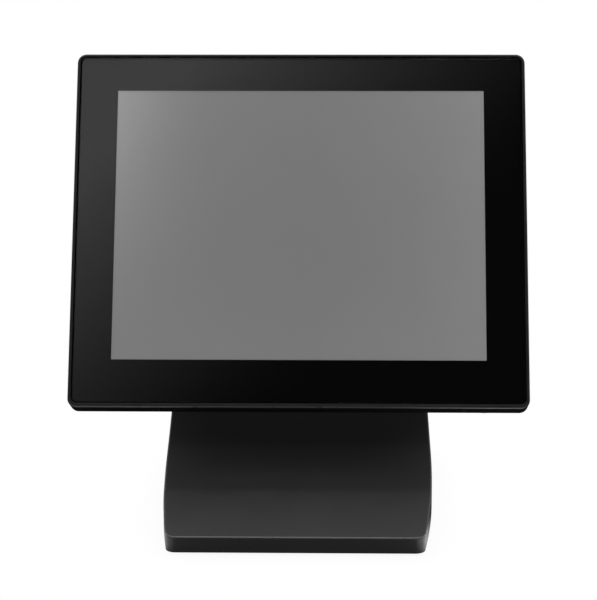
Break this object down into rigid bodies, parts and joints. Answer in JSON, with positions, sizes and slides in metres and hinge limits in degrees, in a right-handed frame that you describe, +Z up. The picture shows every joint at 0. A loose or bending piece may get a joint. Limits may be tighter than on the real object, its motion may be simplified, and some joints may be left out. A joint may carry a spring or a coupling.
{
  "type": "point-of-sale touchscreen terminal",
  "caption": "Flat-glass touchscreen head with a thin rim, hinged on a concave weighted counter stand, with its electronics inside.",
  "frame": {"origin": "centre of the stand's counter-screw pattern, which is the centre of its footprint, on the counter plane", "axes": "+X to the operator's right along the head's width, +Y away from the operator, +Z up"},
  "size_m": [0.3726, 0.2821, 0.3453],
  "materials": {
    "rim_plastic": "satin moulded plastic",
    "touch_glass": "polished cover glass",
    "border_ink": "black ink printed behind the glass",
    "foam_tape": "double-sided foam tape",
    "screen": "switched-off display surface",
    "sheet_steel": "zinc-plated sheet",
    "screws": "plated screws",
    "brass_posts": "machined hexagon posts",
    "circuit_board": "green solder mask",
    "chip_lid": "nickel-plated lid",
    "aluminium_fins": "extruded",
    "socket_plastic": "moulded",
    "battery_steel": "nickel-plated can",
    "socket_metal": "tinned shells",
    "drive_case": "painted",
    "ribbon": "flat cable",
    "speaker_case": "moulded",
    "button_plastic": "polished",
    "lamp_lens": "clear moulding",
    "cover_plastic": "fine texture",
    "bracket_paint": "powder coat",
    "stand_plastic": "fine satin texture",
    "base_paint": "black coat",
    "ballast_iron": "as cast",
    "foot_rubber": "moulded rubber",
    "hinge_steel": "turned and ground"
  },
  "bodies": {
    "stand": {"stand_cover": "stand_plastic", "base_plate": "base_paint", "base_plate_screws": "screws", "ballast_weight": "ballast_iron", "rubber_feet": "foot_rubber", "support_frame": "sheet_steel", "frame_bolts": "screws", "hinge_bracket": "bracket_paint", "hinge_bracket_bolts": "screws", "hinge_pins": "hinge_steel", "hinge_washers": "hinge_steel", "hinge_nuts": "hinge_steel", "hinge_cover": "stand_plastic", "cable_clips": "socket_plastic"},
    "head": {"front_bezel": "rim_plastic", "touch_glass": "touch_glass", "glass_border_print": "border_ink", "glass_adhesive": "foam_tape", "lcd_frame": "sheet_steel", "lcd_panel": "screen", "lcd_brackets": "sheet_steel", "chassis_plate": "sheet_steel", "chassis_screws": "screws", "bracket_posts": "sheet_steel", "board_standoffs": "brass_posts", "main_board": "circuit_board", "board_screws": "screws", "processor": "chip_lid", "heat_sink": "aluminium_fins", "memory_socket": "socket_plastic", "memory_module": "circuit_board", "cmos_battery": "battery_steel", "io_connectors": "socket_metal", "io_plate": "sheet_steel", "drive_tray": "sheet_steel", "solid_state_drive": "drive_case", "display_cable": "ribbon", "touch_controller": "circuit_board", "speakers": "speaker_case", "power_switch": "circuit_board", "status_led_lens": "lamp_lens", "rear_cover": "cover_plastic", "rear_cover_screws": "screws", "io_cover": "cover_plastic", "drive_door": "cover_plastic", "door_screws": "screws", "tilt_bracket": "bracket_paint", "tilt_bracket_screws": "screws"},
    "power_button": {"power_button": "button_plastic"},
    "cable_cover": {"cable_cover": "stand_plastic"}
  },
  "joints": [
    {"name": "head_tilt", "type": "hinge", "parent": "stand", "child": "head", "pos_m": [0, 0.09497, 0.13562], "axis": [-1, 0, 0], "range_deg": [-13, 35]},
    {"name": "power_press", "type": "slide", "parent": "head", "child": "power_button", "axis": [0, 0.4695, 0.8829], "range_m": [0, 0.0009]},
    {"name": "cable_cover_pull", "type": "slide", "parent": "stand", "child": "cable_cover", "axis": [0, 1, 0], "range_m": [0, 0.06]}
  ]
}
